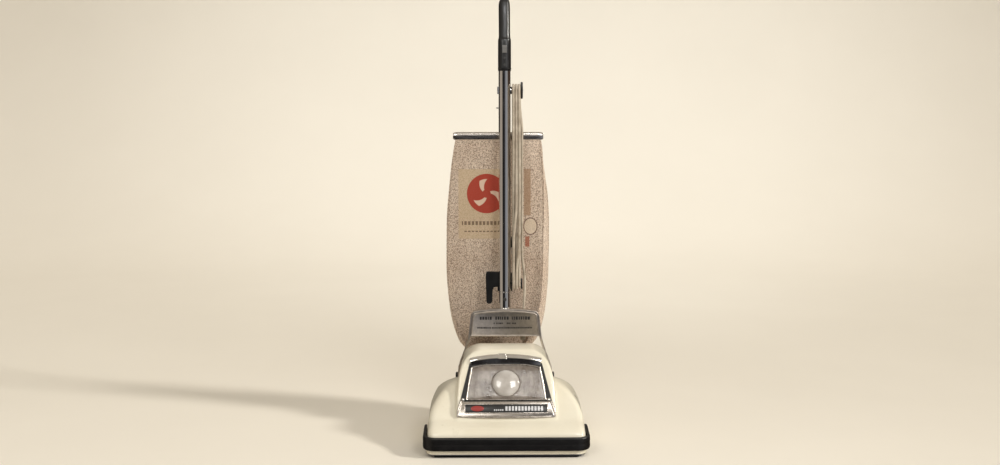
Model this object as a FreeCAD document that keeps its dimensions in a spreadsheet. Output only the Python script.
"""Upright vacuum cleaner: a parametric FreeCAD document, millimetres.

The front faces -Y, +Z is up and +X is the machine's left as it is looked at from the
front. The origin is on the floor under the middle of the machine's box.

Three frames are used. Base pieces are made in the world frame. Handle pieces are made
with their Z along the handle from the pivot, and leaned back with the handle's frame.
Headlight pieces are made flat, with Z out of the front panel, and tilted with it.
"""
import FreeCAD, Part
import math
import os
import re
import Sketcher

SIZES = {
    # the whole machine
    "overall_width": 380, "overall_depth": 396, "overall_height": 1030,
    "lean_angle": 6, "pivot_from_nose": 250, "pivot_z": 132,
    "wall": 3, "fit_gap": 0.3, "running_gap": 0.05,
    # furniture guard and chassis
    "guard_thick": 7, "guard_low": 18, "guard_top": 49, "guard_run": 180,
    "corner_radius": 24, "rear_half": 150, "rear_overhang": 52,
    "chassis_low": 9, "chassis_top": 34, "floor_low": 18, "plate_thick": 3,
    "chamber_depth": 79, "well_half": 112, "well_front": 7,
    # nozzle and agitator
    "mouth_half": 155, "mouth_depth": 56, "brush_y": 48, "brush_z": 32,
    "brush_half": 150, "brush_core": 17, "bar_radius": 23, "tuft_radius": 27,
    "brush_shaft": 4, "belt_radius": 2, "brush_pulley": 10, "pulley_width": 12,
    # motor and fan
    "motor_y": 47, "shaft_radius": 4, "shaft_low": 23, "stator_radius": 42,
    "stator_bore": 26, "stator_low": 90, "stator_top": 150, "casing_top": 170,
    "fan_radius": 56, "fan_case_radius": 64, "fan_low": 40, "fan_top": 74,
    "bearing_radius": 9, "motor_pulley": 6, "belt_z": 31,
    "duct_x": -20, "duct_z": 60, "duct_radius": 18, "duct_reach": 76,
    # hood
    "panel_setback": 64, "panel_z": 76, "panel_angle": 58.7, "panel_length": 160,
    "dome_top": 220, "dome_half": 118, "dome_neck": 100,
    # headlight, in the front panel's frame
    "lens_low": 45, "lens_high": 129, "lens_low_half": 91, "lens_high_half": 79,
    "lens_thick": 3, "gasket_side": 15, "gasket_top": 4, "bulb_v": 82, "bulb_radius": 9,
    "bezel_half": 114, "bezel_high": 43, "strip_low": 13, "strip_high": 34, "strip_half": 94,
    "visor_low": 140, "visor_high": 155, "visor_half": 82, "knob_x": -8, "knob_width": 18,
    # wheels
    "rear_wheel": 25, "rear_wheel_width": 16, "rear_axle": 4, "rear_axle_back": 30,
    "rear_wheel_in": 116, "front_wheel": 11, "front_wheel_width": 9, "front_wheel_in": 60,
    "front_axle": 2.5, "front_axle_y": 100, "carriage_y": 136, "carriage_z": 13,
    # pedal
    "pedal_x": 60, "pedal_width": 32, "pedal_back": 34, "pedal_z": 58, "pedal_reach": 44,
    "latch_x": 130, "latch_reach": 20,
    # bail and handle tube, along the handle from the pivot
    "arm_in": 104.5, "arm_out": 113, "arm_width": 22, "pin_radius": 5,
    "plate_low": 97, "plate_high": 158, "plate_low_half": 93, "plate_high_half": 84,
    "plate_front": 22, "tube_radius": 14.3, "tube_wall": 1.6, "tube_foot": 104,
    "tube_joint": 202, "spigot": 40, "socket_high": 163, "socket_wall": 2.7,
    # cord hooks
    "bracket_low": 213, "bracket_high": 247, "bracket_reach": 46, "horn_low": 172,
    "hook_x": 40, "hook_half": 20, "hook_drop": 48, "lower_hook": 222, "stem_radius": 3,
    # grip
    "grip_length": 174, "grip_collar": 76, "grip_setback": 24, "grip_half": 15.5,
    # bag
    "bag_offset": -15, "bag_half": 130, "bag_front": 34, "bag_low": 75,
    "clip_drop": 146, "clip_height": 20, "clip_half": 109, "clip_thick": 11,
    # cord
    "cord_diameter": 6.4, "coil_clear": 3.3, "coil_out": 38, "coil_half": 16,
    "coil_bulge": 44.6,
    "relief_x": 44, "relief_y": 8, "relief_radius": 7.5,
}

doc = FreeCAD.newDocument("upright_vacuum")
sheet = doc.addObject("Spreadsheet::Sheet", "dims")
for row, (size_name, size_value) in enumerate(SIZES.items(), start=1):
    sheet.set("A%d" % row, size_name)
    sheet.set("B%d" % row, str(size_value))
    sheet.setAlias("B%d" % row, size_name)
doc.recompute()

WORD = re.compile(r"\b(" + "|".join(sorted(SIZES, key=len, reverse=True)) + r")\b")
PARTS = {}

# places that many pieces share, as expressions of the sheet's sizes
NOSE = "(-overall_depth/2)"
PIVOT_Y = "(pivot_from_nose - overall_depth/2)"
FRONT = "(guard_thick - overall_depth/2)"
SIDE = "(overall_width/2 - guard_thick)"
REAR = "(pivot_from_nose + rear_overhang - overall_depth/2)"
CHAMBER_BACK = "(guard_thick + chamber_depth - overall_depth/2)"
BRUSH_Y = "(brush_y - overall_depth/2)"
MOTOR_Y = "(pivot_from_nose - motor_y - overall_depth/2)"
PANEL_Y = "(panel_setback - overall_depth/2)"
FLOOR_TOP = "(floor_low + wall)"
LATCH_Y = "(%s + 12)" % CHAMBER_BACK
GRIP_TOP = "((overall_height - pivot_z + grip_setback*sin(lean_angle))/cos(lean_angle))"
GRIP_FOOT = "(%s - grip_length)" % GRIP_TOP
UPPER_HOOK = "(%s - hook_drop)" % GRIP_FOOT
CLIP_TOP = "(%s - clip_drop)" % GRIP_FOOT
AXLE_Y = "(%s - rear_axle_back)" % REAR
SOCKET_OUT = "(tube_radius + socket_wall)"
COIL_IN = "(tube_radius + coil_clear)"
BAG_BACK = "((overall_depth/2 - %s - 300*sin(lean_angle))/cos(lean_angle))" % PIVOT_Y


def formula(text):
    """An expression of the sheet's sizes, with the sheet's name put before each."""
    return WORD.sub(r"dims.\1", str(text))


def number(text):
    """The value of an expression, for the few pieces whose shape is set by code."""
    return float(sheet.evalExpression(formula(text)))


def bind(thing, prop, text):
    thing.setExpression(prop, formula(text))


def turned(thing, axis, angle):
    thing.Placement = FreeCAD.Placement(FreeCAD.Vector(), FreeCAD.Rotation(axis, angle))


def put(thing, spot):
    """Binds a piece's base point to three expressions."""
    for letter, text in zip("xyz", spot):
        bind(thing, "Placement.Base." + letter, text)


X_AXIS = FreeCAD.Vector(1, 0, 0)
Y_AXIS = FreeCAD.Vector(0, 1, 0)
Z_AXIS = FreeCAD.Vector(0, 0, 1)
ALONG = {"x": (Y_AXIS, 90), "y": (X_AXIS, -90), "z": (Z_AXIS, 0)}


def box(x, y, z):
    """A box between pairs of limits."""
    made = doc.addObject("Part::Box", "block")
    for prop, (low, high) in zip(("Length", "Width", "Height"), (x, y, z)):
        bind(made, prop, "(%s) - (%s)" % (high, low))
    put(made, (x[0], y[0], z[0]))
    return made


def rod(axis, spot, radius, length):
    """A cylinder from a spot, along an axis."""
    made = doc.addObject("Part::Cylinder", "rod")
    turned(made, *ALONG[axis])
    bind(made, "Radius", radius)
    bind(made, "Height", length)
    put(made, spot)
    return made


def ring(axis, spot, outer, inner, length):
    """A tube from a spot, along an axis."""
    return cut(rod(axis, spot, outer, length), rod(axis, spot, inner, length))


def fuse(*pieces):
    made = doc.addObject("Part::MultiFuse", "fused")
    made.Shapes = list(pieces)
    return made


def hold(piece):
    """A piece kept as it is, so that it can be placed in another frame."""
    made = doc.addObject("Part::Compound", "held")
    made.Links = [piece]
    return made


def cut(base, *tools):
    made = doc.addObject("Part::Cut", "cut")
    made.Base = base
    made.Tool = tools[0] if len(tools) == 1 else fuse(*tools)
    return made


def common(*pieces):
    made = doc.addObject("Part::MultiCommon", "shared")
    made.Shapes = list(pieces)
    return made


def sketch_outline(body, plane, points, offset="0"):
    """A closed outline of straight lines, each corner bound to two expressions."""
    outline = body.newObject("Sketcher::SketchObject", "outline")
    support = [item for item in body.Origin.OriginFeatures if item.Role == plane][0]
    outline.AttachmentSupport = [(support, "")]
    outline.MapMode = "FlatFace"
    bind(outline, "AttachmentOffset.Base.z", offset)
    spots = [FreeCAD.Vector(number(u), number(v), 0) for u, v in points]
    for i, spot in enumerate(spots):
        outline.addGeometry(Part.LineSegment(spot, spots[(i + 1) % len(spots)]))
    for i in range(len(spots)):
        outline.addConstraint(Sketcher.Constraint("Coincident", i, 2, (i + 1) % len(spots), 1))
    for i, spot in enumerate(spots):
        for kind, value, text in (("DistanceX", spot.x, points[i][0]),
                                  ("DistanceY", spot.y, points[i][1])):
            index = outline.addConstraint(Sketcher.Constraint(kind, -1, 1, i, 1, value))
            bind(outline, "Constraints[%d]" % index, text)
    return outline


def prism(plane, points, low, high, rounds=()):
    """An outline padded between two distances along the plane's outward axis.

    rounds lists (corner numbers, radius) for corners that are rounded.
    """
    body = doc.addObject("PartDesign::Body", "prism")
    backwards = plane == "XZ_Plane"
    offset = "-(%s)" % high if backwards else low
    outline = sketch_outline(body, plane, points, offset)
    pad = body.newObject("PartDesign::Pad", "pad")
    pad.Profile = outline
    bind(pad, "Length", "(%s) - (%s)" % (high, low))
    doc.recompute()
    for corners, radius in rounds:
        wanted = [(number(points[i][0]), number(points[i][1])) for i in corners]
        names = corner_edges(body.Tip.Shape, plane, wanted)
        base = body.Tip
        blend = body.newObject("PartDesign::Fillet", "blend")
        blend.Base = (base, names)
        bind(blend, "Radius", radius)
        doc.recompute()
    return body


def corner_edges(shape, plane, wanted):
    """The names of the edges that run along a pad at the wanted corners."""
    keep = {"XY_Plane": (0, 1), "XZ_Plane": (0, 2), "YZ_Plane": (1, 2)}[plane]
    names = []
    for index, edge in enumerate(shape.Edges, start=1):
        ends = [(vertex.Point[keep[0]], vertex.Point[keep[1]]) for vertex in edge.Vertexes]
        if len(ends) < 2 or math.dist(ends[0], ends[1]) > 0.01:
            continue
        if any(math.dist(ends[0], spot) < 0.01 for spot in wanted):
            names.append("Edge%d" % index)
    if len(names) != len(wanted):
        raise RuntimeError("a corner to round was not found")
    return names


def lathe(points):
    """An outline of (radius, height) turned about the Z axis."""
    body = doc.addObject("PartDesign::Body", "turned")
    outline = sketch_outline(body, "XZ_Plane", points)
    turn = body.newObject("PartDesign::Revolution", "turn")
    turn.Profile = outline
    turn.ReferenceAxis = (outline, ["V_Axis"])
    turn.Angle = 360
    doc.recompute()
    return body


def corner_arcs(points):
    """Straight runs joined by tangent arcs, each as large as its two runs allow."""
    spots = [FreeCAD.Vector(*point) for point in points]
    edges = []
    radii = []
    start = spots[0]
    for i in range(1, len(spots) - 1):
        before = spots[i] - spots[i - 1]
        after = spots[i + 1] - spots[i]
        turn = before.getAngle(after)
        reach = 0.45 * min(before.Length, after.Length)
        radii.append(reach / math.tan(turn / 2))
        arrive = spots[i] - before.normalize() * reach
        leave = spots[i] + after.normalize() * reach
        inward = (leave - spots[i]) + (arrive - spots[i])
        centre = spots[i] + inward.normalize() * (radii[-1] / math.cos(turn / 2))
        middle = centre + (spots[i] - centre).normalize() * radii[-1]
        edges.append(Part.LineSegment(start, arrive).toShape())
        edges.append(Part.Arc(arrive, middle, leave).toShape())
        start = leave
    edges.append(Part.LineSegment(start, spots[-1]).toShape())
    return Part.Wire(edges), radii


def pipe(points, width):
    """A round bar along a path of runs and arcs, with the path's length and radii."""
    path, radii = corner_arcs(points)
    first = FreeCAD.Vector(*points[0])
    circle = Part.makeCircle(width / 2, first, FreeCAD.Vector(*points[1]) - first)
    return path.makePipeShell([Part.Wire(circle)], True, False), path.Length, radii


def mirrored(points):
    """Both sides of an outline whose points are given for +X, from bottom to top."""
    left = [("-(%s)" % u, v) for u, v in reversed(points)]
    return list(points) + left


def add(label, piece, frame="world"):
    """Registers a finished piece under its label, in its frame."""
    piece.Label = label
    if frame == "handle":
        turned(piece, -X_AXIS, 1)
        put(piece, ("0", PIVOT_Y, "pivot_z"))
        bind(piece, "Placement.Rotation.Angle", "lean_angle")
    if frame == "panel":
        set_on_panel(piece)
    PARTS[label] = piece
    return piece


def set_on_panel(piece):
    turned(piece, X_AXIS, 1)
    put(piece, ("0", PANEL_Y, "panel_z"))
    bind(piece, "Placement.Rotation.Angle", "panel_angle")
    return piece


def both_sides(maker):
    """The same piece made on the left and on the right, as one group."""
    return fuse(maker(1), maker(-1))


def span(side, inner, outer):
    """X limits of something on one side of the machine."""
    return (inner, outer) if side > 0 else ("-(%s)" % outer, "-(%s)" % inner)


# ---------------------------------------------------------------- chassis and hood

def plan(inset, front, back="(%s)" % REAR):
    """The lower body's outline from above, inset all round."""
    side = "(%s - (%s))" % (SIDE, inset)
    rear = "(rear_half - (%s))" % inset
    return [
        ("-(%s)" % side, front), (side, front), (side, "%s + guard_run" % FRONT),
        (rear, "%s - 44" % REAR), (rear, back), ("-(%s)" % rear, back),
        ("-(%s)" % rear, "%s - 44" % REAR), ("-(%s)" % side, "%s + guard_run" % FRONT),
    ]


def chassis():
    outer = prism("XY_Plane", plan("0", FRONT), "chassis_low", "chassis_top",
                  [((0, 1), "corner_radius"), ((4, 5), "12")])
    half = "(%s - 2*wall)" % SIDE
    chamber = [("-(%s)" % half, "%s + 2*wall" % FRONT), (half, "%s + 2*wall" % FRONT),
               (half, CHAMBER_BACK), ("-(%s)" % half, CHAMBER_BACK)]
    nozzle = prism("XY_Plane", chamber, "chassis_low - 1", "chassis_top + 1",
                   [((0, 1), "corner_radius - 2*wall")])
    inner = "(%s - wall)" % SIDE
    start = "(%s + wall)" % CHAMBER_BACK
    well = "(well_half - wall)"
    above = prism("XY_Plane", [
        ("-(%s)" % inner, start), (inner, start), (inner, "%s + guard_run" % FRONT),
        ("rear_half - wall", "%s - well_front - wall" % PIVOT_Y),
        (well, "%s - well_front - wall" % PIVOT_Y), (well, "%s - wall" % REAR),
        ("-" + well, "%s - wall" % REAR), ("-" + well, "%s - well_front - wall" % PIVOT_Y),
        ("wall - rear_half", "%s - well_front - wall" % PIVOT_Y),
        ("-(%s)" % inner, "%s + guard_run" % FRONT)], FLOOR_TOP, "chassis_top + 1")
    below = box(("-well_half - wall", "well_half + wall"), (start, "%s - wall" % REAR),
                ("chassis_low - 1", "floor_low"))

    def well_cut(side):
        return box(span(side, "well_half", "rear_half + 1"),
                   ("%s - well_front" % PIVOT_Y, "%s + 1" % REAR),
                   ("chassis_low - 1", "chassis_top + 1"))

    def lug(side):
        x = span(side, "front_wheel_in - 4", "front_wheel_in + 2")
        hinge = "(carriage_y - overall_depth/2)"
        return box(x, ("%s - 6" % hinge, "%s + 6" % hinge), ("chassis_low", "floor_low + 1"))

    shell = cut(outer, nozzle, above, below, both_sides(well_cut))
    hinge_hole = rod("x", ("-front_wheel_in - 3", "carriage_y - overall_depth/2", "carriage_z"),
                     "front_axle + running_gap", "2*front_wheel_in + 6")
    axle_hole = rod("x", ("-well_half - 1", AXLE_Y, "rear_wheel"), "rear_axle",
                    "2*well_half + 2")
    belt_slot = box(("-motor_pulley - 8", "motor_pulley + 8"),
                    ("%s - 1" % CHAMBER_BACK, "%s + 12" % start),
                    ("chassis_low + 10", "chassis_top + 1"))

    def wheel_pocket(side):
        axle = "(front_axle_y - overall_depth/2)"
        return box(span(side, "front_wheel_in - 1.5", "front_wheel_in + front_wheel_width + 4.5"),
                   ("%s - front_wheel - 1.5" % axle, "%s + front_wheel + 1.5" % axle),
                   ("floor_low - 1", "%s + 1" % FLOOR_TOP))

    latch_holes = both_sides(lambda side: rod(
        "z", ("%d*latch_x" % side, LATCH_Y, "chassis_low - 1"), "3 + running_gap", "30"))
    add("chassis", cut(fuse(shell, both_sides(lug)), hinge_hole, axle_hole, belt_slot,
                       both_sides(wheel_pocket), latch_holes))


def bottom_plate():
    edge = prism("XY_Plane", [
        ("-(%s - wall)" % SIDE, "%s + wall" % FRONT), ("%s - wall" % SIDE, "%s + wall" % FRONT),
        ("%s - wall" % SIDE, CHAMBER_BACK), ("-(%s - wall)" % SIDE, CHAMBER_BACK)],
        "chassis_low - plate_thick", "chassis_low", [((0, 1), "corner_radius - wall")])
    mouth = box(("-mouth_half", "mouth_half"),
                ("%s - mouth_depth/2" % BRUSH_Y, "%s + mouth_depth/2" % BRUSH_Y),
                ("chassis_low - plate_thick - 1", "chassis_low + 1"))
    notches = both_sides(lambda side: rod(
        "z", ("%d*latch_x" % side, LATCH_Y, "chassis_low - plate_thick - 1"),
        "latch_reach + 3", "3.2"))
    add("bottom_plate", cut(edge, mouth, notches))


def furniture_guard():
    side = "(overall_width/2)"
    end = "(%s + guard_run)" % FRONT
    outer = [("-" + side, NOSE), (side, NOSE), (side, end), ("-" + side, end)]
    inner = [("-" + SIDE, FRONT), (SIDE, FRONT), (SIDE, "%s + 1" % end),
             ("-" + SIDE, "%s + 1" % end)]
    band = prism("XY_Plane", outer, "guard_low", "guard_top",
                 [((0, 1), "corner_radius + guard_thick")])
    core = prism("XY_Plane", inner, "guard_low - 1", "guard_top + 1",
                 [((0, 1), "corner_radius")])
    add("furniture_guard", cut(band, core))


def lower_block(inset, low):
    """The low, wide part of the hood: a front view, a side view and a plan in common."""
    side = "(%s - (%s))" % (SIDE, inset)
    front_view = prism("XZ_Plane", mirrored([
        (side, low), ("%s - 3" % side, "60"), ("%s - 8" % side, "86 - (%s)" % inset),
        ("%s - 20" % side, "108 - (%s)" % inset), ("%s - 35" % side, "127 - (%s)" % inset),
        ("%s - 66" % side, "150 - (%s)" % inset)]), "%s - 1" % FRONT, "%s + 1" % REAR)
    start = "(%s + (%s))" % (FRONT, inset)
    back = "(%s - (%s))" % (REAR, inset)
    side_view = prism("YZ_Plane", [
        (start, low), (back, low), (back, "84 - (%s)" % inset),
        ("%s - 22" % PIVOT_Y, "112 - (%s)" % inset), ("%s - 72" % PIVOT_Y, "149 - (%s)" % inset),
        ("%s - 112" % PIVOT_Y, "145 - (%s)" % inset), ("%s + 39" % PANEL_Y, "112 - (%s)" % inset),
        (PANEL_Y, "panel_z - (%s)" % inset), ("%s + 3" % start, "50 - (%s)" % inset)],
        "-overall_width/2", "overall_width/2")
    above = prism("XY_Plane", plan(inset, start, back), low, "160",
                  [((0, 1), "corner_radius - (%s)" % inset), ((4, 5), "12")])
    return common(front_view, side_view, above)


def dome_block(inset, low):
    """The tall part of the hood over the motor and the headlight."""
    half = "(dome_half - (%s))" % inset
    front_view = prism("XZ_Plane", mirrored([
        (half, low), ("%s - 2" % half, "121"), ("%s - 7" % half, "162"),
        ("%s - 21" % half, "186 - (%s)" % inset), ("%s - 38" % half, "210 - (%s)" % inset),
        ("%s - 62" % half, "dome_top - (%s)" % inset)]), "%s - 1" % PANEL_Y, "%s + 1" % REAR)
    foot_y = "(%s + (%s)/sin(panel_angle) + (%s - panel_z)/tan(panel_angle))" % (
        PANEL_Y, inset, low)
    head_y = "(%s + (%s)/sin(panel_angle) + panel_length*cos(panel_angle))" % (PANEL_Y, inset)
    head_z = "(panel_z + panel_length*sin(panel_angle) - (%s))" % inset
    back = "(%s - (%s))" % (REAR, inset)
    side_view = prism("YZ_Plane", [
        (foot_y, low), (back, low), (back, "150"),
        ("%s - 17" % back, "184 - (%s)" % inset), ("%s + 8" % PIVOT_Y, "203 - (%s)" % inset),
        ("%s - 12" % PIVOT_Y, "212 - (%s)" % inset),
        ("%s - 42" % PIVOT_Y, "dome_top - (%s)" % inset), (head_y, head_z)],
        "-overall_width/2", "overall_width/2")
    neck = "(dome_neck - (%s))" % inset
    above = prism("XY_Plane", mirrored([
        (half, "%s - 40" % PANEL_Y), (half, "%s + 30" % PANEL_Y), (neck, "%s - 30" % PIVOT_Y),
        (neck, "%s + 12" % PIVOT_Y), ("%s - 16" % neck, back)]), low, "dome_top + 1")
    return common(front_view, side_view, above)


def lens_outline(grow_side, grow_end):
    """The headlight's window in the panel frame, grown at its sides and ends."""
    return mirrored([("lens_low_half + (%s)" % grow_side, "lens_low - (%s)" % grow_end),
                     ("lens_high_half + (%s)/3" % grow_side, "lens_high + (%s)" % grow_end)])


def hood():
    outer = fuse(lower_block("0", "chassis_top"), dome_block("0", "chassis_top"))
    inner = fuse(lower_block("wall", "(chassis_top - 1)"), dome_block("wall", "(chassis_top - 1)"))
    window = set_on_panel(prism("XY_Plane", lens_outline("gasket_side", "gasket_top"),
                                "-16", "12"))
    outlet = rod("y", ("duct_x", "%s - 12" % REAR, "duct_z"), "duct_radius", "30")
    slot = box(("pedal_x - 2", "pedal_x + pedal_width + 2"), ("%s - 8" % REAR, "%s + 4" % REAR),
               ("pedal_z - 9", "pedal_z + 6"))
    pins = both_sides(lambda side: rod(
        "x", ("%d*(dome_neck - 4) - 4" % side, PIVOT_Y, "pivot_z"), "pin_radius", "8"))
    screws = both_sides(lambda side: rod(
        "z", ("%d*(rear_half - 12)" % side, "%s - 40" % PIVOT_Y, "chassis_top - 2"), "2", "4"))
    add("hood_shell", cut(outer, inner, window, outlet, slot, pins, screws))


# ---------------------------------------------------------------- headlight

def headlight():
    gasket = prism("XY_Plane", lens_outline("gasket_side", "gasket_top"), "-lens_thick", "1")
    window = prism("XY_Plane", lens_outline("0", "0"), "-lens_thick - 1", "2")
    add("lens_gasket", cut(gasket, window), "panel")
    add("headlight_lens", prism("XY_Plane", lens_outline("0", "0"), "-lens_thick + 1", "1.5"),
        "panel")
    tray = prism("XY_Plane", lens_outline("gasket_side - 4", "gasket_top - 4"), "-26",
                 "-lens_thick")
    hollow = prism("XY_Plane", lens_outline("gasket_side - 8", "-4"), "-24", "-lens_thick + 1")
    socket = rod("z", ("0", "bulb_v", "-36"), "bulb_radius + 2", "14")
    seat = rod("z", ("0", "bulb_v", "-30"), "bulb_radius - 1", "12")
    add("headlight_reflector", cut(fuse(cut(tray, hollow), socket), seat), "panel")
    glass = lathe([("0", "-30"), ("bulb_radius - 1", "-30"), ("bulb_radius - 1", "-12"),
                   ("bulb_radius/2", "-6"), ("0", "-5")])
    bind(glass, "Placement.Base.y", "bulb_v")
    add("headlight_bulb", hold(glass), "panel")
    frame = prism("XY_Plane", mirrored([("bezel_half", "3"), ("bezel_half - 12", "bezel_high - 4")]),
                  "0", "4", [((0, 3), "4")])
    pocket = box(("-strip_half", "strip_half"), ("strip_low", "strip_high"), ("2", "5"))
    window_edge = prism("XY_Plane", lens_outline("gasket_side", "gasket_top"), "-1", "5")
    add("headlight_bezel", cut(frame, pocket, window_edge), "panel")
    strip = box(("-visor_half", "visor_half"), ("visor_low", "visor_high"), ("0", "2.5"))
    track = box(("knob_x - 6", "knob_x + 46"), ("visor_low + 5", "visor_high - 5"), ("0", "3"))
    add("visor_trim", cut(strip, track), "panel")
    cap = box(("knob_x - knob_width/2", "knob_x + knob_width/2"),
              ("visor_low + 1", "visor_high - 1"), ("2.5 + fit_gap", "9"))
    stem = rod("z", ("knob_x", "(visor_low + visor_high)/2", "fit_gap"), "1.8", "4")
    add("height_knob", fuse(cap, stem), "panel")


# ---------------------------------------------------------------- motor, fan and belt

def at_motor(piece):
    bind(piece, "Placement.Base.y", MOTOR_Y)
    return piece


def motor():
    add("motor_casing", at_motor(lathe([
        ("stator_radius", "fan_top"), ("stator_radius + 3", "fan_top"),
        ("stator_radius + 3", "casing_top"), ("shaft_radius + 1", "casing_top"),
        ("shaft_radius + 1", "casing_top - 2"), ("bearing_radius", "casing_top - 2"),
        ("bearing_radius", "casing_top - 10"), ("30", "casing_top - 10"),
        ("30", "stator_top"), ("stator_radius", "stator_top")])))
    add("motor_stator", at_motor(lathe([
        ("stator_bore", "stator_low"), ("stator_radius", "stator_low"),
        ("stator_radius", "stator_top"), ("stator_bore", "stator_top")])))
    add("motor_armature", at_motor(lathe([
        ("shaft_radius", "stator_low + 2"), ("stator_bore - 1", "stator_low + 2"),
        ("stator_bore - 1", "stator_top - 2"), ("11", "stator_top - 2"),
        ("11", "stator_top + 8"), ("shaft_radius", "stator_top + 8")])))
    add("motor_shaft", at_motor(lathe([
        ("0", "shaft_low"), ("shaft_radius", "shaft_low"),
        ("shaft_radius", "casing_top - 1"), ("0", "casing_top - 1")])))

    def bearing(low):
        return ring("z", ("0", MOTOR_Y, low), "bearing_radius", "shaft_radius + running_gap", "8")

    add("motor_bearings", fuse(bearing("casing_top - 10"), bearing("fan_top")))
    add("carbon_brushes", both_sides(lambda side: box(
        span(side, "11 + fit_gap", "24"), ("%s - 4" % MOTOR_Y, "%s + 4" % MOTOR_Y),
        ("stator_top + 1", "stator_top + 7"))))


def fan():
    case = at_motor(lathe([
        ("25", "fan_low"), ("fan_case_radius", "fan_low"), ("fan_case_radius", "fan_top"),
        ("20", "fan_top"), ("20", "fan_top + 8"), ("bearing_radius", "fan_top + 8"),
        ("bearing_radius", "fan_top"), ("shaft_radius + 1", "fan_top"),
        ("shaft_radius + 1", "fan_top - wall"), ("fan_case_radius - wall", "fan_top - wall"),
        ("fan_case_radius - wall", "fan_low + wall"), ("25", "fan_low + wall")]))
    legs = fuse(*[box(("%d*40 - 4" % side, "%d*40 + 4" % side),
                      ("%s + (%d)*34 - 4" % (MOTOR_Y, lengthways),
                       "%s + (%d)*34 + 4" % (MOTOR_Y, lengthways)),
                      (FLOOR_TOP, "fan_low")) for side in (1, -1) for lengthways in (1, -1)])
    port = rod("y", ("duct_x", MOTOR_Y, "duct_z - 3"), "12", "fan_case_radius + 4")
    add("fan_housing", cut(fuse(case, legs), port))
    hub = ring("z", ("0", MOTOR_Y, "fan_low + wall + 3"), "11", "shaft_radius",
               "fan_top - fan_low - 2*wall - 6")
    disc = ring("z", ("0", MOTOR_Y, "fan_low + wall + 3"), "fan_radius", "shaft_radius", "2.5")
    blades = []
    for turn in range(8):
        blade = doc.addObject("Part::Box", "blade")
        bind(blade, "Length", "fan_radius - 12")
        bind(blade, "Width", "2")
        bind(blade, "Height", "fan_top - fan_low - 2*wall - 8")
        angle = turn * 45
        turned(blade, Z_AXIS, angle + 28)
        across = math.radians(angle)
        put(blade, ("10*(%.6f)" % math.cos(across),
                    "%s + 10*(%.6f)" % (MOTOR_Y, math.sin(across)), "fan_low + wall + 4"))
        blades.append(blade)
    rim = rod("z", ("0", MOTOR_Y, "fan_low"), "fan_radius", "40")
    bore = rod("z", ("0", MOTOR_Y, "fan_low"), "shaft_radius", "40")
    add("fan_impeller", cut(common(fuse(hub, disc, *blades), rim), bore))
    duct = cut(ring("y", ("duct_x", "%s + 40" % MOTOR_Y, "duct_z"), "duct_radius",
                    "duct_radius - wall", "%s + duct_reach - (%s + 40)" % (PIVOT_Y, MOTOR_Y)),
               rod("z", ("0", MOTOR_Y, "fan_low"), "fan_case_radius", "60"))
    add("exhaust_duct", duct)
    add("bag_collar", ring("y", ("duct_x", "%s + duct_reach - 20" % PIVOT_Y, "duct_z"),
                           "duct_radius + 4", "duct_radius", "14"))


def belt():
    add("motor_pulley", at_motor(lathe([
        ("shaft_radius", "belt_z - 6"), ("motor_pulley + 3", "belt_z - 6"),
        ("motor_pulley", "belt_z - 3"), ("motor_pulley", "belt_z + 3"),
        ("motor_pulley + 3", "belt_z + 6"), ("shaft_radius", "belt_z + 6")])))
    belt_piece = doc.addObject("Part::Feature", "belt")
    belt_piece.Shape = belt_shape()
    add("drive_belt", belt_piece)


def belt_shape():
    """A round belt with a quarter twist between the motor's and the brush's pulleys."""
    around_motor = number("motor_pulley + belt_radius + 3*fit_gap")
    around_brush = number("brush_pulley + belt_radius + 5*fit_gap")
    motor_back = number(MOTOR_Y) + around_motor
    brush_front = number(BRUSH_Y) - around_brush
    height = number("belt_z")
    left = FreeCAD.Vector(around_motor, motor_back, height)
    right = FreeCAD.Vector(-around_motor, motor_back, height)
    low = FreeCAD.Vector(0, brush_front, number("brush_z") - around_brush)
    high = FreeCAD.Vector(0, brush_front, number("brush_z") + around_brush)
    low_middle = (right + low) * 0.5
    high_middle = (left + high) * 0.5
    halves = [pipe([tuple(spot) for spot in spots], 2 * number("belt_radius"))[0]
              for spots in ((high_middle, left, right, low_middle),
                            (low_middle, low, high, high_middle))]
    return halves[0].fuse(halves[1])


# ---------------------------------------------------------------- agitator

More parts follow.
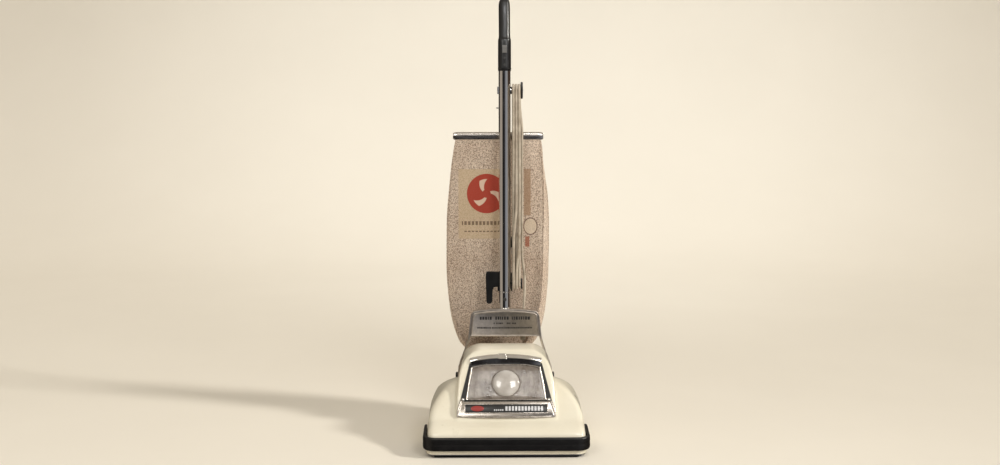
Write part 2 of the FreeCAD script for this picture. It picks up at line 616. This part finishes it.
def agitator():
    def halves(radius):
        return both_sides(lambda side: rod(
            "x", ("pulley_width/2" if side > 0 else "-brush_half", BRUSH_Y, "brush_z"), radius,
            "brush_half - pulley_width/2"))

    core = fuse(halves("brush_core"),
                rod("x", ("-pulley_width/2", BRUSH_Y, "brush_z"), "brush_shaft + 2",
                    "pulley_width"),
                rod("x", ("-brush_half - 14", BRUSH_Y, "brush_z"), "brush_shaft",
                    "2*brush_half + 28"))
    add("agitator_cylinder", core)
    wheel = lathe([("brush_shaft + 2", "-pulley_width/2"),
                   ("brush_pulley + 4", "-pulley_width/2"), ("brush_pulley", "-3"),
                   ("brush_pulley", "3"), ("brush_pulley + 4", "pulley_width/2"),
                   ("brush_shaft + 2", "pulley_width/2")])
    turned(wheel, *ALONG["x"])
    put(wheel, ("0", BRUSH_Y, "brush_z"))
    add("agitator_pulley", wheel)

    def strips(angles, reach, thick):
        made = []
        for side in (1, -1):
            for angle in angles:
                strip = box(span(side, "pulley_width/2 + 6", "brush_half - 6"),
                            ("-%s/2" % thick, "%s/2" % thick), ("0", reach))
                holder = hold(strip)
                turned(holder, X_AXIS, angle)
                put(holder, ("0", BRUSH_Y, "brush_z"))
                made.append(holder)
        return cut(fuse(*made), halves("brush_core"))

    add("beater_bars", strips((45, 225), "bar_radius", "8"))
    add("brush_rows", strips((135, 315), "tuft_radius", "5"))

    def cap(side):
        block = box(span(side, "brush_half + 4", "brush_half + 13"),
                    ("%s - 14" % BRUSH_Y, "%s + 14" % BRUSH_Y), ("brush_z - 20", "brush_z + 16"))
        seat = rod("x", ("%d*(brush_half + 8) - 8" % side, BRUSH_Y, "brush_z"),
                   "brush_shaft + running_gap", "16")
        return cut(block, seat)

    add("agitator_bearings", both_sides(cap))


# ---------------------------------------------------------------- wheels and height setting

def wheel_points(radius, bore, width, hub):
    """A tyre with rounded shoulders, a recessed web and a hub, about Z."""
    return [(bore, "0"), (hub, "0"), (hub, "2"), ("%s - 6" % radius, "2"),
            ("%s - 5" % radius, "0"), ("%s - 2" % radius, "0"), (radius, "2.5"),
            (radius, "%s - 2.5" % width), ("%s - 2" % radius, width),
            ("%s - 5" % radius, width), ("%s - 6" % radius, "%s - 2" % width),
            (hub, "%s - 2" % width), (hub, width), (bore, width)]


def wheels():
    for side, name in ((1, "left"), (-1, "right")):
        wheel = lathe(wheel_points("rear_wheel", "rear_axle + running_gap", "rear_wheel_width",
                                   "rear_axle + 5"))
        turned(wheel, *ALONG["x"])
        start = "rear_wheel_in" if side > 0 else "-rear_wheel_in - rear_wheel_width"
        put(wheel, (start, AXLE_Y, "rear_wheel"))
        add("rear_wheel_" + name, wheel)
    bar = rod("x", ("-rear_wheel_in - rear_wheel_width - 5", AXLE_Y, "rear_wheel"), "rear_axle",
              "2*(rear_wheel_in + rear_wheel_width + 5)")
    caps = both_sides(lambda side: rod(
        "x", ("rear_wheel_in + rear_wheel_width + 0.5" if side > 0
              else "-rear_wheel_in - rear_wheel_width - 3.5", AXLE_Y, "rear_wheel"),
        "rear_axle + 3", "3"))
    add("rear_axle", fuse(bar, caps))
    axle_y = "(front_axle_y - overall_depth/2)"
    hinge_y = "(carriage_y - overall_depth/2)"
    for side, name in ((1, "left"), (-1, "right")):
        points = [("front_axle + running_gap", "0"), ("front_wheel - 1.5", "0"),
                  ("front_wheel", "1.5"), ("front_wheel", "front_wheel_width - 1.5"),
                  ("front_wheel - 1.5", "front_wheel_width"),
                  ("front_axle + running_gap", "front_wheel_width")]
        wheel = lathe(points)
        turned(wheel, *ALONG["x"])
        start = "front_wheel_in" if side > 0 else "-front_wheel_in - front_wheel_width"
        put(wheel, (start, axle_y, "front_wheel"))
        add("front_wheel_" + name, wheel)
    reach = "front_wheel_in + front_wheel_width + 3"
    pieces = [
        rod("x", ("-(%s)" % reach, axle_y, "front_wheel"), "front_axle", "2*(%s)" % reach),
        rod("x", ("-front_wheel_in + 2", axle_y, "front_wheel"), "front_axle + 2.5",
            "2*front_wheel_in - 4"),
        rod("x", ("-front_wheel_in - 1", hinge_y, "carriage_z"), "front_axle",
            "2*front_wheel_in + 2"),
        box(("-front_wheel_in + 8", "front_wheel_in - 8"), (axle_y, hinge_y),
            ("carriage_z - 2", "carriage_z + 1")),
        both_sides(lambda side: rod(
            "x", ("front_wheel_in + front_wheel_width + 0.5" if side > 0 else "-(%s)" % reach,
                  axle_y, "front_wheel"), "front_axle + 2", "2.5")),
    ]
    add("front_carriage", fuse(*pieces))


# ---------------------------------------------------------------- pedal, latches and pivots

PEDAL_Y = "(%s + pedal_back)" % PIVOT_Y


def pedal():
    ends = ("pedal_x", "pedal_x + pedal_width")
    barrel = rod("x", ("pedal_x", PEDAL_Y, "pedal_z"), "5", "pedal_width")
    tread = box(ends, ("%s + 3" % PEDAL_Y, "%s + pedal_reach" % PEDAL_Y),
                ("pedal_z - 2", "pedal_z + 2"))
    ribs = fuse(*[box(ends, ("%s + pedal_reach - %d" % (PEDAL_Y, back),
                             "%s + pedal_reach - %d + 2" % (PEDAL_Y, back)),
                      ("pedal_z + 2", "pedal_z + 3")) for back in (4, 9, 14)])
    bore = rod("x", ("pedal_x - 1", PEDAL_Y, "pedal_z"), "2 + running_gap", "pedal_width + 2")
    add("release_pedal", cut(fuse(barrel, tread, ribs), bore))

    def lug(low, high):
        return box((low, high), ("%s - 7" % PEDAL_Y, "%s + 7" % PEDAL_Y), (FLOOR_TOP, "pedal_z + 6"))

    lugs = fuse(lug("pedal_x - 5", "pedal_x - 0.5"),
                lug("pedal_x + pedal_width + 0.5", "pedal_x + pedal_width + 5"))
    axle = rod("x", ("pedal_x - 6", AXLE_Y, "rear_wheel"), "rear_axle", "pedal_width + 12")
    pin = rod("x", ("pedal_x - 5", PEDAL_Y, "pedal_z"), "2", "pedal_width + 10")
    add("pedal_bracket", fuse(cut(lugs, axle), pin))
    post = ("%s - 22" % PEDAL_Y, "%s - 20.8" % PEDAL_Y)
    leaf_x = ("pedal_x + 10", "pedal_x + 22")
    add("pedal_spring", fuse(box(leaf_x, post, (FLOOR_TOP, "pedal_z - 9")),
                             box(leaf_x, (post[0], "%s + 10" % PEDAL_Y),
                                 ("pedal_z - 10.2", "pedal_z - 9"))))


def latches():
    for side, name in ((1, "left"), (-1, "right")):
        x = "%d*latch_x" % side
        tab = box(("%s - 7" % x, "%s + 7" % x), ("%s - latch_reach" % LATCH_Y, "%s + 6" % LATCH_Y),
                  ("chassis_low - plate_thick + 0.1", "chassis_low - plate_thick + 2"))
        pin = rod("z", (x, LATCH_Y, "chassis_low - plate_thick + 1"), "3", "12")
        add("plate_latch_" + name, fuse(tab, pin))


def pivots():
    def bracket(side):
        plate = box(span(side, "dome_neck - 8", "dome_neck - 4"),
                    ("%s - 10" % PIVOT_Y, "%s + 10" % PIVOT_Y), (FLOOR_TOP, "pivot_z + 10"))
        foot = box(span(side, "dome_neck - 26", "dome_neck - 4"),
                   ("%s - 10" % PIVOT_Y, "%s + 10" % PIVOT_Y), (FLOOR_TOP, "floor_low + wall + 3"))
        hole = rod("x", ("%d*(dome_neck - 6) - 4" % side, PIVOT_Y, "pivot_z"), "pin_radius", "8")
        return cut(fuse(plate, foot), hole)

    def pin(side):
        stub = rod("x", ("dome_neck - 8" if side > 0 else "-arm_out - 1", PIVOT_Y, "pivot_z"),
                   "pin_radius", "arm_out + 1 - dome_neck + 8")
        head = rod("x", ("arm_out + fit_gap" if side > 0 else "-arm_out - fit_gap - 3.5",
                         PIVOT_Y, "pivot_z"), "pin_radius + 3.5", "3.5")
        spacer = rod("x", ("dome_neck" if side > 0 else "fit_gap - arm_in", PIVOT_Y, "pivot_z"),
                     "pin_radius + 3", "arm_in - fit_gap - dome_neck")
        return fuse(stub, head, spacer)

    add("trunnion_brackets", both_sides(bracket))
    add("pivot_pins", both_sides(pin))


def hood_screws():
    def screw(side):
        spot = ("%d*(rear_half - 12)" % side, "%s - 40" % PIVOT_Y)
        return fuse(rod("z", (*spot, "chassis_top - 6"), "2", "10"),
                    rod("z", (*spot, "chassis_top + 4"), "4", "3"))

    add("hood_screws", both_sides(screw))


# ---------------------------------------------------------------- bail and handle tube

def bail():
    foot = "-arm_width/2"
    outer = prism("XZ_Plane", mirrored([
        ("arm_out", foot), ("arm_out", "30"), ("plate_low_half + 5", "plate_low - 4"),
        ("plate_high_half + 3", "plate_high"), ("40", "plate_high + 5")]),
        "-plate_front", "arm_width/2")
    gap = prism("XZ_Plane", mirrored([
        ("arm_in", "-arm_width"), ("arm_in", "32"), ("plate_low_half - 3", "plate_low")]),
        "-plate_front - 1", "arm_width/2 + 1")
    hollow = prism("XZ_Plane", mirrored([
        ("plate_low_half - 4", "plate_low + 4"), ("plate_high_half - 2", "plate_high - 4"),
        ("38", "plate_high + 1")]), "wall - plate_front", "arm_width/2 + 1")
    slope = prism("YZ_Plane", [("-plate_front - 1", "-arm_width"), ("-arm_width/2", "-arm_width"),
                               ("-arm_width/2", "plate_low - 30"),
                               ("-plate_front", "plate_low - 8"), ("-plate_front - 1", "plate_low - 8")],
                  "-overall_width/2", "overall_width/2")
    pins = rod("x", ("-arm_out - 1", "0", "0"), "pin_radius + running_gap", "2*arm_out + 2")
    toes = prism("YZ_Plane", [("-arm_width/2 - 1", "-arm_width"), ("arm_width/2 + 1", "-arm_width"),
                              ("arm_width/2 + 1", "0"), ("arm_width/2", "0"),
                              ("arm_width/4", "-arm_width*0.43"), ("-arm_width/4", "-arm_width*0.43"),
                              ("-arm_width/2", "0"), ("-arm_width/2 - 1", "0")],
                 "-overall_width/2", "overall_width/2")
    seat = rod("z", ("0", "0", "plate_low - 2"), SOCKET_OUT, "80")
    rest = box(("-24", "24"), ("wall - plate_front - 0.5", "arm_width/2"),
               ("plate_low", "plate_low + 6"))
    notch = box(("relief_x - relief_radius", "relief_x + relief_radius"),
                ("relief_y - relief_radius", "arm_width/2 + 1"),
                ("plate_low - 1", "plate_high + 8"))
    add("handle_bail", cut(fuse(cut(outer, gap, hollow), rest), slope, pins, toes, seat,
                           notch), "handle")
    add("bail_plate", prism("XZ_Plane", mirrored([
        ("plate_low_half - 3", "plate_low + 2"), ("plate_high_half - 2", "plate_high - 2"),
        ("38", "plate_high + 3")]), "-plate_front - 1.5", "-plate_front"), "handle")


def handle_tubes():
    bore = "tube_radius - tube_wall"
    add("handle_socket", lathe([
        ("tube_radius", "plate_low - 2"), (SOCKET_OUT, "plate_low - 2"),
        (SOCKET_OUT, "socket_high - 2"), ("%s - 1.5" % SOCKET_OUT, "socket_high"),
        ("tube_radius", "socket_high")]), "handle")
    neck = "(tube_radius - 2*tube_wall)"
    add("lower_tube", lathe([
        (neck, "tube_foot"), ("tube_radius", "tube_foot"), ("tube_radius", "tube_joint"),
        (bore, "tube_joint"), (bore, "tube_joint + spigot"),
        (neck, "tube_joint + spigot")]), "handle")
    add("upper_tube", lathe([(bore, "tube_joint"), ("tube_radius", "tube_joint"),
                             ("tube_radius", "%s + 30" % GRIP_FOOT),
                             (bore, "%s + 30" % GRIP_FOOT)]), "handle")


def screws():
    heads = [rod("y", ("0", "-tube_radius - 2.2", "tube_joint - 18"), "4", "6")]
    tube = rod("z", ("0", "0", "tube_joint - 30"), "tube_radius", "60")
    grip_heads = [rod("y", ("0", "-19.2", "%s + %d" % (GRIP_FOOT, up)), "3", "1.2")
                  for up in (12, 28)]
    add("handle_screws", cut(fuse(*heads, *grip_heads), tube), "handle")


# ---------------------------------------------------------------- cord hooks

def hooks():
    around = rod("z", ("0", "0", "horn_low - 10"), "tube_radius", "120")
    block = prism("XZ_Plane", [
        ("tube_radius + 3", "bracket_low - 10"), ("tube_radius + 3", "bracket_high"),
        ("4 - bracket_reach", "bracket_high + 3"), ("-bracket_reach", "bracket_high - 4"),
        ("2 - bracket_reach", "horn_low"), ("16 - bracket_reach", "horn_low"),
        ("17 - bracket_reach", "bracket_low"), ("-tube_radius - 3", "bracket_low"),
        ("-tube_radius - 3", "bracket_low - 10")], "1", "20", [((2, 4, 5), "3")])
    band = ring("z", ("0", "0", "lower_hook - 6"), "tube_radius + 3", "tube_radius", "12")
    stem = rod("x", ("tube_radius", "0", "lower_hook"), "stem_radius", "hook_x - tube_radius")
    keeper = box(("hook_x - 1.5", "hook_x + 2.5"), ("-4", "4"),
                 ("lower_hook - 14", "lower_hook + 12"))
    add("lower_cord_hook", cut(fuse(block, band, stem, keeper), around), "handle")
    clamp = ring("z", ("0", "0", "%s - 9" % UPPER_HOOK), "tube_radius + 2.5", "tube_radius", "18")
    boss = rod("x", ("tube_radius", "0", UPPER_HOOK), "6", "5")
    tail = box(("-6", "6"), ("tube_radius + 1", "tube_radius + 9"),
               ("%s - 46" % UPPER_HOOK, "%s + 6" % UPPER_HOOK))
    socket = rod("x", ("tube_radius - 2", "0", UPPER_HOOK), "stem_radius + running_gap", "12")
    bore = rod("z", ("0", "0", "%s - 60" % UPPER_HOOK), "tube_radius", "90")
    add("upper_hook_clamp", cut(fuse(clamp, boss, tail), socket, bore, hanger_wire()), "handle")
    pin = rod("x", ("tube_radius + 0.5", "0", UPPER_HOOK), "stem_radius",
              "hook_x - tube_radius")
    bar = box(("hook_x - 1.5", "hook_x + 2.5"), ("-4", "4"),
              ("%s - hook_half" % UPPER_HOOK, "%s + hook_half" % UPPER_HOOK))
    add("upper_cord_hook", fuse(pin, bar), "handle")


# ---------------------------------------------------------------- grip and switch

def grip():
    half = "grip_half"
    foot = GRIP_FOOT
    top = GRIP_TOP
    step = "(%s + grip_collar)" % foot
    face = prism("XZ_Plane", mirrored([
        ("%s - 1.5" % half, foot), (half, "%s + 3" % foot), (half, "%s - 4" % step),
        ("%s - 1" % half, step), (half, "%s + 10" % step), (half, "%s - 9" % top),
        ("%s - 3" % half, "%s - 3" % top), ("%s - 8" % half, top)]), "-30", "90")
    side = prism("YZ_Plane", [
        ("-18", foot), ("18", foot), ("18", "%s - 6" % step),
        ("grip_setback + 6", "%s - 34" % top), ("grip_setback + 13", "%s - 6" % top),
        ("grip_setback + 8", top), ("grip_setback - 8", "%s - 2" % top),
        ("grip_setback - 14", "%s - 8" % top), ("-8", "%s + 16" % step), ("-17", step),
        ("-18", "%s - 6" % step)], "-60", "60", [((3, 4, 7, 8), "4")])
    body = common(face, side)
    bore = rod("z", ("0", "0", "%s - 1" % foot), "tube_radius", "31")
    seat = box(("-5.5 - fit_gap", "5.5 + fit_gap"), ("-19", "-14.5"),
               ("%s + 40" % foot, "%s + 66" % foot))
    add("grip", cut(body, bore, seat), "handle")
    key = box(("-5.5", "5.5"), ("-20.5", "-14.8"), ("%s + 40.3" % foot, "%s + 58" % foot))
    ridges = fuse(*[box(("-5.5", "5.5"), ("-21.3", "-20.5"),
                        ("%s + %d" % (foot, up), "%s + %d + 1.5" % (foot, up)))
                    for up in (43, 47, 51)])
    add("power_switch", fuse(key, ridges), "handle")


# ---------------------------------------------------------------- bag

def hanger_wire():
    """The bent wire that carries the bag's clip from the hook's clamp."""
    back = "tube_radius + 5"
    return fuse(rod("z", ("0", back, "%s - 4" % CLIP_TOP), "1.4",
                    "%s - 41 - (%s - 4)" % (UPPER_HOOK, CLIP_TOP)),
                rod("y", ("0", back, "%s - 4" % CLIP_TOP), "1.4",
                    "bag_front - 2 - tube_radius - 5"),
                rod("x", ("-20", back, "%s - 41" % UPPER_HOOK), "1.4", "21.4"))


def bag():
    low = "(%s - clip_height)" % CLIP_TOP
    left = "(bag_offset - clip_half)"
    right = "(bag_offset + clip_half)"
    outer = box((left, right), ("bag_front - 2", "bag_front - 2 + clip_thick"), (low, CLIP_TOP))
    groove = box(("%s - 1" % left, "%s + 1" % right), ("bag_front", "bag_front + clip_thick - 4"),
                 ("%s - 1" % low, "%s - 2.5" % CLIP_TOP))
    add("bag_clip", cut(outer, groove), "handle")
    add("bag_hanger", hold(hanger_wire()), "handle")
    centre = "bag_offset"
    points = [("0.62*bag_half", "bag_low"), ("0.82*bag_half", "bag_low + 18"),
              ("0.95*bag_half", "bag_low + 65"), ("bag_half", "bag_low + 150"),
              ("bag_half", "%s - 190" % low), ("0.94*bag_half", "%s - 70" % low),
              ("clip_half - 6", "%s - fit_gap" % low)]
    outline = [("%s + %s" % (centre, x), z) for x, z in points]
    outline += [("%s - %s" % (centre, x), z) for x, z in reversed(points)]
    face = prism("XZ_Plane", outline, "bag_front", "%s + 1" % BAG_BACK)
    side = prism("YZ_Plane", [
        ("bag_front + 4", "bag_low"), ("%s - 30" % BAG_BACK, "bag_low"),
        ("%s - 6" % BAG_BACK, "bag_low + 40"), (BAG_BACK, "300"),
        ("%s - 16" % BAG_BACK, "%s - 150" % low), ("bag_front + 36", "%s - 50" % low),
        ("bag_front + clip_thick - 4.5", "%s - fit_gap" % low),
        ("bag_front + 0.5", "%s - fit_gap" % low), ("bag_front", "%s - 60" % low),
        ("bag_front", "bag_low + 30")], "bag_offset - bag_half - 1", "bag_offset + bag_half + 1")
    add("dust_bag", common(face, side), "handle")


# ---------------------------------------------------------------- cord

# the free run of the cord, along the handle: out of the strain relief, up to the winding
LEAD = [(44, 8, 122), (44.6, 8.4, 146), (46.2, 9.2, 172), (48, 8.6, 200), (48.2, 7.4, 228),
        (46, 6, 256), (41.5, 4.5, 282)]


def cord():
    width = number("cord_diameter")
    lead = doc.addObject("Part::Feature", "lead")
    lead.Shape, length, radii = pipe(LEAD, width)
    wanted = math.pi * width * width / 4 * length
    print("cord lead radii", [round(radius, 1) for radius in radii],
          "volume ratio", round(lead.Shape.Volume / wanted, 4))
    add("cord_lead", lead, "handle")

    low = "lower_hook - stem_radius - 2*cord_diameter"
    high = "%s + stem_radius + 2*cord_diameter" % UPPER_HOOK
    loop = prism("YZ_Plane", [
        ("-coil_half", low), ("coil_half", low), ("coil_half", high), ("-coil_half", high)],
        COIL_IN, "coil_bulge", [((0, 1, 2, 3), "coil_half - 1")])
    front_view = prism("XZ_Plane", [
        (COIL_IN, low), ("coil_out", low), ("coil_out", "lower_hook + 18"),
        ("coil_bulge", "lower_hook + 40"), ("coil_bulge", "%s - 84" % UPPER_HOOK),
        ("coil_out", "%s - 34" % UPPER_HOOK), ("coil_out", high), (COIL_IN, high)],
        "-coil_half - 1", "coil_half + 1")
    coil = common(loop, front_view)
    stems = [rod("x", ("%s - 1" % COIL_IN, "0", spot), radius, "coil_out - %s + 2" % COIL_IN)
             for spot, radius in ((UPPER_HOOK, "6.5"), ("lower_hook", "stem_radius + fit_gap"))]
    add("cord_winding", cut(coil, *stems), "handle")

    plug_low = "(bracket_high + 60)"
    block = box(("14", "32"), ("coil_half + 0.5", "coil_half + 15.5"), (plug_low, "%s + 26" % plug_low))
    nose = rod("z", ("23", "coil_half + 8", "%s + 26" % plug_low), "5", "12")
    blades = fuse(*[box(("%g" % (23 + side * 6.35 - 0.75), "%g" % (23 + side * 6.35 + 0.75)),
                        ("coil_half + 5", "coil_half + 11"),
                        ("%s - 17" % plug_low, plug_low)) for side in (1, -1)])
    add("cord_plug", fuse(block, nose, blades), "handle")
    seat = "plate_low"
    relief = lathe([
        ("0", "%s - 13" % seat), ("relief_radius - 1", "%s - 13" % seat),
        ("relief_radius - 1", "%s - 3" % seat), ("relief_radius + 2.5", "%s - 3" % seat),
        ("relief_radius + 2.5", seat), ("relief_radius", seat), ("relief_radius", "%s + 5" % seat),
        ("5.6", "%s + 6" % seat), ("4.4", "%g" % LEAD[0][2]), ("0", "%g" % LEAD[0][2])])
    put(relief, ("relief_x", "relief_y", "0"))
    add("strain_relief", hold(relief), "handle")


# ---------------------------------------------------------------- the whole machine

def build():
    for make in (chassis, bottom_plate, furniture_guard, hood, headlight, motor, fan, belt,
                 agitator, wheels, pedal, latches, pivots, hood_screws, bail, handle_tubes,
                 screws, hooks, grip, bag, cord):
        make()
    doc.recompute()


def check():
    for thing in doc.Objects:
        bad = [word for word in thing.State if word in ("Invalid", "Error")]
        if bad:
            raise RuntimeError("%s failed to build" % thing.Name)
    for label, piece in PARTS.items():
        if piece.Shape.isNull() or not piece.Shape.isValid() or not piece.Shape.Solids:
            raise RuntimeError("%s has no valid solid" % label)


def write():
    os.makedirs("parts", exist_ok=True)
    for label, piece in PARTS.items():
        piece.Shape.exportStep("parts/%s.step" % label)
        extent = piece.Shape.BoundBox
        print("%-20s %d solid(s)  x %.1f..%.1f  y %.1f..%.1f  z %.1f..%.1f" % (
            label, len(piece.Shape.Solids), extent.XMin, extent.XMax, extent.YMin,
            extent.YMax, extent.ZMin, extent.ZMax))
    print(len(PARTS), "pieces")


build()
check()
write()
